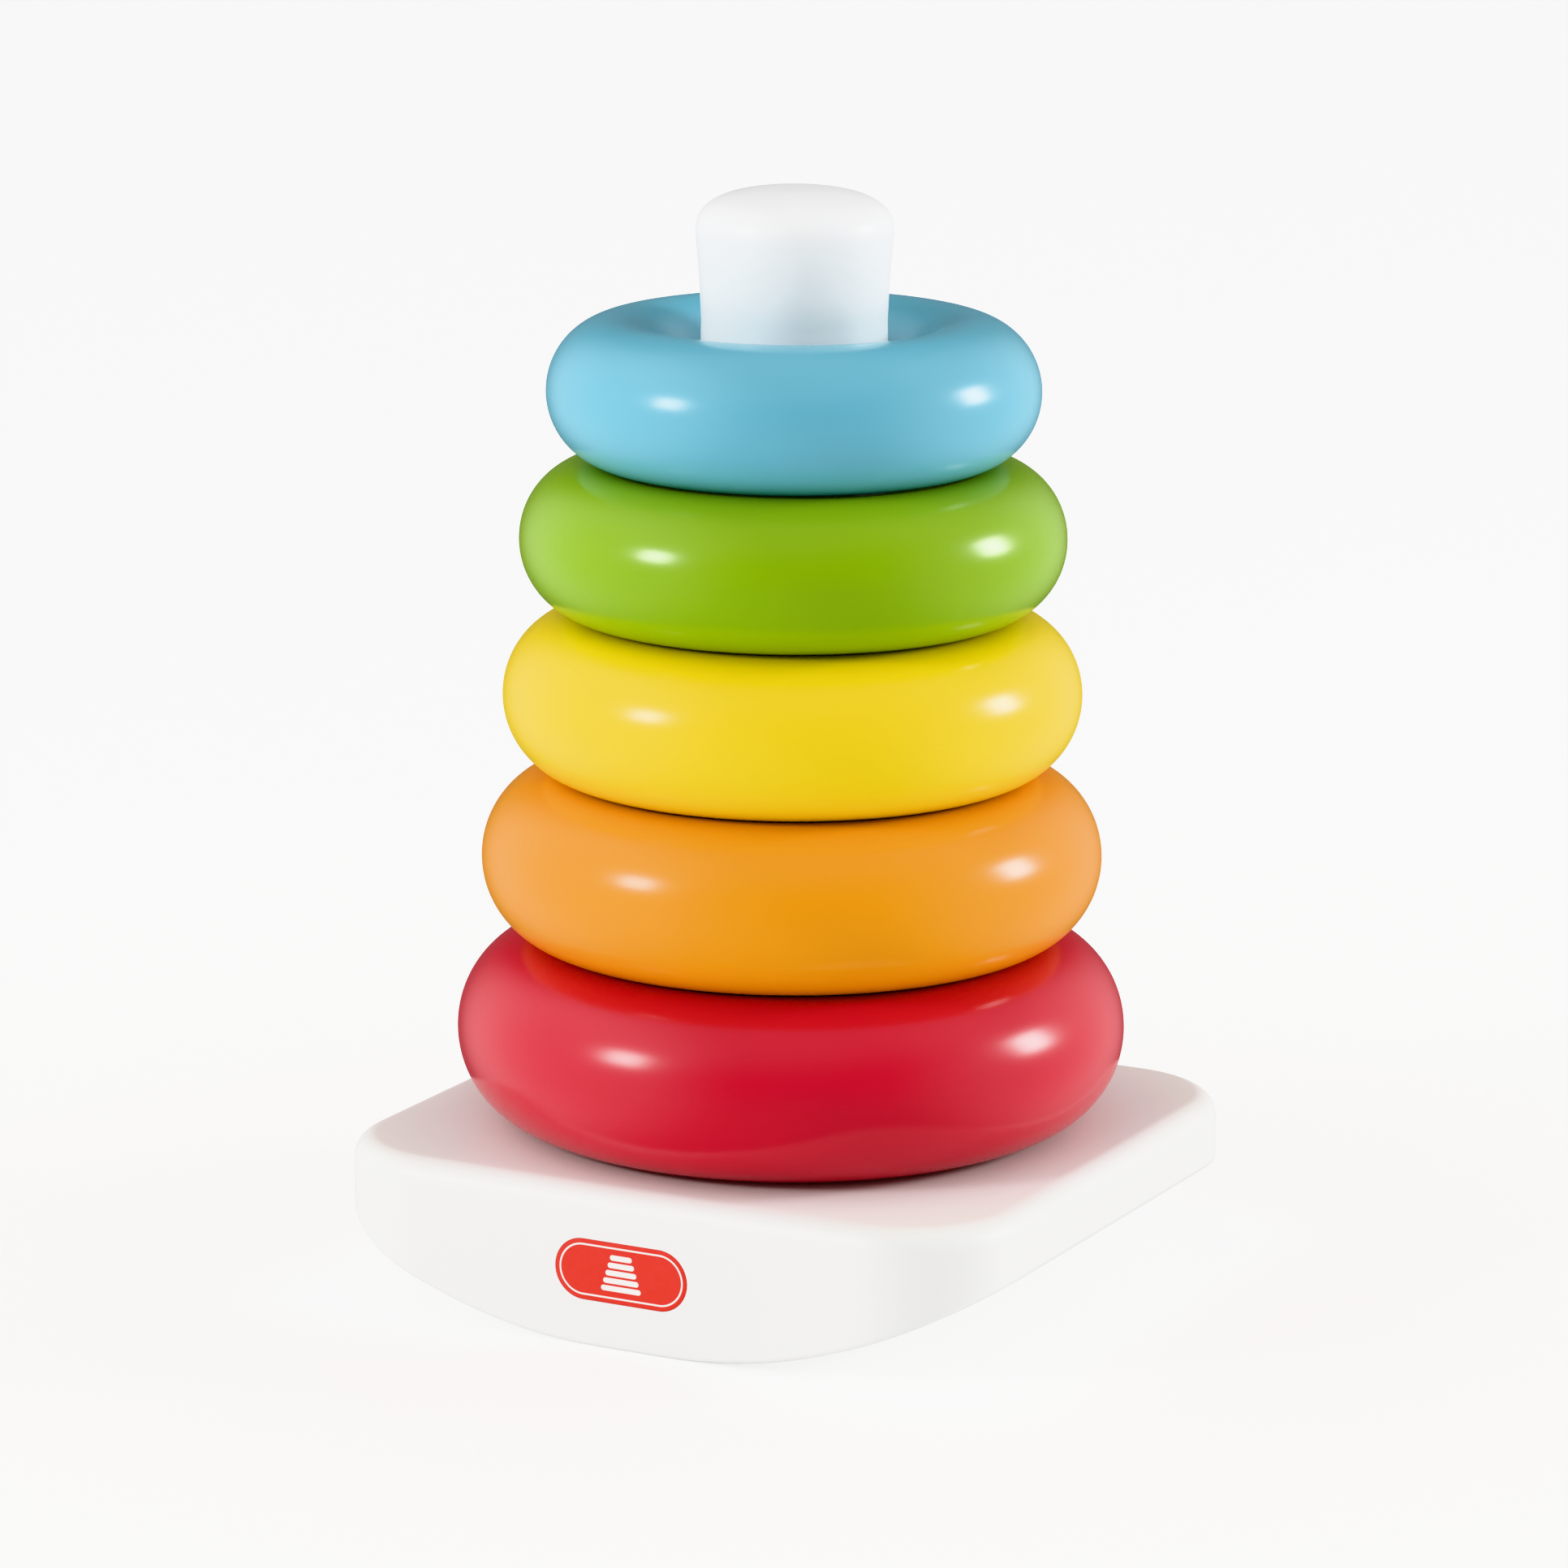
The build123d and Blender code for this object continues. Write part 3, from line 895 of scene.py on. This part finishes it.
# %% Print the badge
def badge_material():
    """Red ground with the line and the bars in pale ink."""
    material = bpy.data.materials.new("badge_print")
    material.use_nodes = True
    tree = material.node_tree
    nodes, links = tree.nodes, tree.links
    shader = nodes["Principled BSDF"]
    where = nodes.new("ShaderNodeTexCoord")
    centre = nodes.new("ShaderNodeMapping")
    centre.inputs["Location"].default_value = (-BADGE_MIDDLE[0], 0.0, -BADGE_MIDDLE[1])
    parts = nodes.new("ShaderNodeSeparateXYZ")
    links.new(where.outputs["Object"], centre.inputs["Vector"])
    links.new(centre.outputs["Vector"], parts.inputs["Vector"])

    def distance(middle_z, half_straight, radius):
        """Distance to one round-ended bar."""
        node = nodes.new("ShaderNodeGroup")
        node.node_tree = ROUND_BAR
        links.new(parts.outputs["X"], node.inputs["X"])
        links.new(parts.outputs["Z"], node.inputs["Z"])
        node.inputs["Middle Z"].default_value = middle_z
        node.inputs["Half Straight"].default_value = half_straight
        node.inputs["Radius"].default_value = radius
        return node.outputs["Distance"]

    straight = BADGE_LENGTH / 2 - BADGE_HEIGHT / 2
    edge = distance(0.0, straight, BADGE_HEIGHT / 2 - LINE_INSET)
    nearest = math_node(tree, "SUBTRACT", math_node(tree, "ABSOLUTE", edge), LINE_HALF_WIDTH)
    for step, length in enumerate(BAR_LENGTHS):
        middle_z = (step - (len(BAR_LENGTHS) - 1) / 2) * BAR_PITCH
        bar = distance(middle_z, length * MM - BAR_HALF_HEIGHT, BAR_HALF_HEIGHT)
        nearest = math_node(tree, "MINIMUM", nearest, bar)
    ink = nodes.new("ShaderNodeMapRange")
    ink.inputs["From Min"].default_value = INK_EDGE
    ink.inputs["From Max"].default_value = -INK_EDGE
    links.new(nearest, ink.inputs["Value"])
    mottle = nodes.new("ShaderNodeTexNoise")
    mottle.inputs["Scale"].default_value = MOTTLE_SCALE
    mottle.inputs["Detail"].default_value = 2.0
    links.new(where.outputs["Object"], mottle.inputs["Vector"])
    ground = mix_colours(tree, mottle.outputs["Fac"], RED_PRINT, DEEP_RED_PRINT)
    links.new(mix_colours(tree, ink.outputs["Result"], ground, PALE_PRINT), shader.inputs["Base Color"])
    gloss = nodes.new("ShaderNodeMapRange")
    gloss.inputs["To Min"].default_value, gloss.inputs["To Max"].default_value = PRINT_ROUGHNESS
    links.new(mottle.outputs["Fac"], gloss.inputs["Value"])
    links.new(gloss.outputs["Result"], shader.inputs["Roughness"])
    return material


badge_mesh.materials.append(badge_material())
place("badge_film", badge_mesh, "base", "front_badge")

# %% [markdown]
# ## Camera
# A toy of this size is shown from a good metre away with a long lens, a little above it. A short
# lens close by would show more of the top ring's hole, but it would make the sides run together.
# The camera stands to the right of the front, so that the front and the right walls of the base
# both show. It is placed by an azimuth about the post, which can be read off a plan.

# %% Camera
CAMERA_AZIMUTH = radians(27.43)
CAMERA_REACH = 1.1964
CAMERA_Z = 0.3669
CAMERA_PITCH = radians(12.99)
CAMERA_TURN = radians(0.07)
CAMERA_ROLL = radians(0.27)
FOCAL_LENGTH, SENSOR_WIDTH = 155.1, 36.0

lens = bpy.data.cameras.new("studio_camera")
lens.sensor_width = SENSOR_WIDTH
lens.lens = FOCAL_LENGTH
lens.clip_start, lens.clip_end = 0.05, 50.0
camera = show("studio_camera", lens)
stand = Vector((CAMERA_REACH * sin(CAMERA_AZIMUTH), -CAMERA_REACH * cos(CAMERA_AZIMUTH), CAMERA_Z))
camera.matrix_world = (
    Matrix.Translation(stand)
    @ Matrix.Rotation(CAMERA_AZIMUTH + CAMERA_TURN, 4, "Z")
    @ Matrix.Rotation(pi / 2 - CAMERA_PITCH, 4, "X")
    @ Matrix.Rotation(CAMERA_ROLL, 4, "Z")
)
bpy.context.scene.camera = camera
print("camera at", [round(c, 3) for c in camera.matrix_world.translation])

# %% [markdown]
# ## Light
# A glossy ring is a mirror for its lamps, so their size and place are what one sees of them. One
# big softbox would lay a single broad glare over all five rings. Two small ones, at the left front
# and at the far right, put one soft highlight each on every ring. They are hidden from the camera,
# but not from the rings.

# %% Softboxes
SOFTBOXES = {
    "left_softbox": dict(azimuth=-33.0, reach=1.0, z=0.50, width=0.20, height=0.20, power=4.4),
    "right_softbox": dict(azimuth=121.5, reach=1.5, z=0.57, width=0.30, height=0.38, power=14.5),
}
AIM = Vector((0.0, 0.0, 100.0 * MM))

for name, box in SOFTBOXES.items():
    light = bpy.data.lights.new(name, "AREA")
    light.shape = "RECTANGLE"
    light.size, light.size_y = box["width"], box["height"]
    light.energy = box["power"]
    lamp = show(name, light)
    turn = radians(box["azimuth"])
    lamp.location = (box["reach"] * sin(turn), -box["reach"] * cos(turn), box["z"])
    lamp.rotation_euler = (AIM - lamp.location).to_track_quat("-Z", "Y").to_euler()
    lamp.visible_camera = False
    print(name, box["power"], "W at", [round(c, 2) for c in lamp.location])

# %% [markdown]
# ## White walls and ceiling
# Most of the light on a product table comes back from white boards. Real boards in the scene would
# need hiding from the camera and would make noise. Here they are soft patches of the world's
# background: each is bright towards its middle and fades out by an angle. It is dimmer between the
# walls, so the middle of each ring is deeper in colour than its flanks.

# %% White walls and ceiling
ROOM_LIGHT = 0.16
PANELS = {
    "left_wall": dict(azimuth=-62.0, rise=5.0, inner=30.0, outer=74.0, light=1.25),
    "right_wall": dict(azimuth=127.0, rise=5.0, inner=28.0, outer=70.0, light=1.05),
    "ceiling": dict(azimuth=0.0, rise=76.0, inner=15.0, outer=62.0, light=0.72),
}

world = bpy.data.worlds.new("white_room")
bpy.context.scene.world = world
world.use_nodes = True
sky, wires = world.node_tree.nodes, world.node_tree.links
direction = sky.new("ShaderNodeTexCoord")
brightness = ROOM_LIGHT
for name, panel in PANELS.items():
    turn, rise = radians(panel["azimuth"]), radians(panel["rise"])
    dot = sky.new("ShaderNodeVectorMath")
    dot.operation = "DOT_PRODUCT"
    dot.inputs[1].default_value = (sin(turn) * cos(rise), -cos(turn) * cos(rise), sin(rise))
    patch = sky.new("ShaderNodeMapRange")
    patch.label = name
    patch.interpolation_type = "SMOOTHSTEP"
    patch.inputs["From Min"].default_value = cos(radians(panel["outer"]))
    patch.inputs["From Max"].default_value = cos(radians(panel["inner"]))
    patch.inputs["To Max"].default_value = panel["light"]
    wires.new(direction.outputs["Generated"], dot.inputs[0])
    wires.new(dot.outputs["Value"], patch.inputs["Value"])
    brightness = math_node(world.node_tree, "ADD", patch.outputs["Result"], brightness)
wires.new(brightness, sky["Background"].inputs["Strength"])
sky["Background"].inputs["Color"].default_value = (1.0, 1.0, 1.0, 1.0)
print("world patches:", ", ".join(PANELS))

# %% [markdown]
# ## Floor
# The toy stands on a wide white sweep. A shadow catcher would show nothing but the shadow, and a
# plain white floor bright enough for the picture would wash the white base out with its light. So
# the camera sees the floor brighter than the toy does, which sets the base off against it.
# Reflections leave it out, because a sweep's light comes back soft and shows no edge in the rings.

# %% Floor
FLOOR_HALF = 6.0
FLOOR_Z = -0.05 * MM
FLOOR_WHITE = (0.9, 0.9, 0.9, 1.0)
FLOOR_GLOW = 0.16
GLOW_FOR_CAMERA = 0.5

floor_mesh = bpy.data.meshes.new("studio_floor")
floor_mesh.from_pydata(
    [(x * FLOOR_HALF, y * FLOOR_HALF, FLOOR_Z) for x, y in ((-1, -1), (1, -1), (1, 1), (-1, 1))],
    [], [(0, 1, 2, 3)])
floor = show("studio_floor", floor_mesh)
pale = bpy.data.materials.new("pale_floor")
pale.use_nodes = True
sweep = pale.node_tree.nodes["Principled BSDF"]
for socket, value in (("Base Color", FLOOR_WHITE), ("Roughness", 0.9), ("Specular IOR Level", 0.1),
                      ("Emission Color", (1.0, 1.0, 1.0, 1.0))):
    sweep.inputs[socket].default_value = value
seen = pale.node_tree.nodes.new("ShaderNodeLightPath").outputs["Is Camera Ray"]
shown = math_node(pale.node_tree, "MULTIPLY_ADD", seen, GLOW_FOR_CAMERA, FLOOR_GLOW)
pale.node_tree.links.new(shown, sweep.inputs["Emission Strength"])
floor_mesh.materials.append(pale)
floor.visible_glossy = False
print("floor", 2 * FLOOR_HALF, "m wide")

# %% [markdown]
# ## View transform
# The rings of the real toy are strong, clean colours. The usual view transforms wash out a bright
# colour, the way film does. The neutral one keeps it and only eases the last of the highlights.

# %% Set the view
settings = bpy.context.scene.view_settings
settings.view_transform = "Khronos PBR Neutral"
settings.look = "None"
print("view", settings.view_transform)
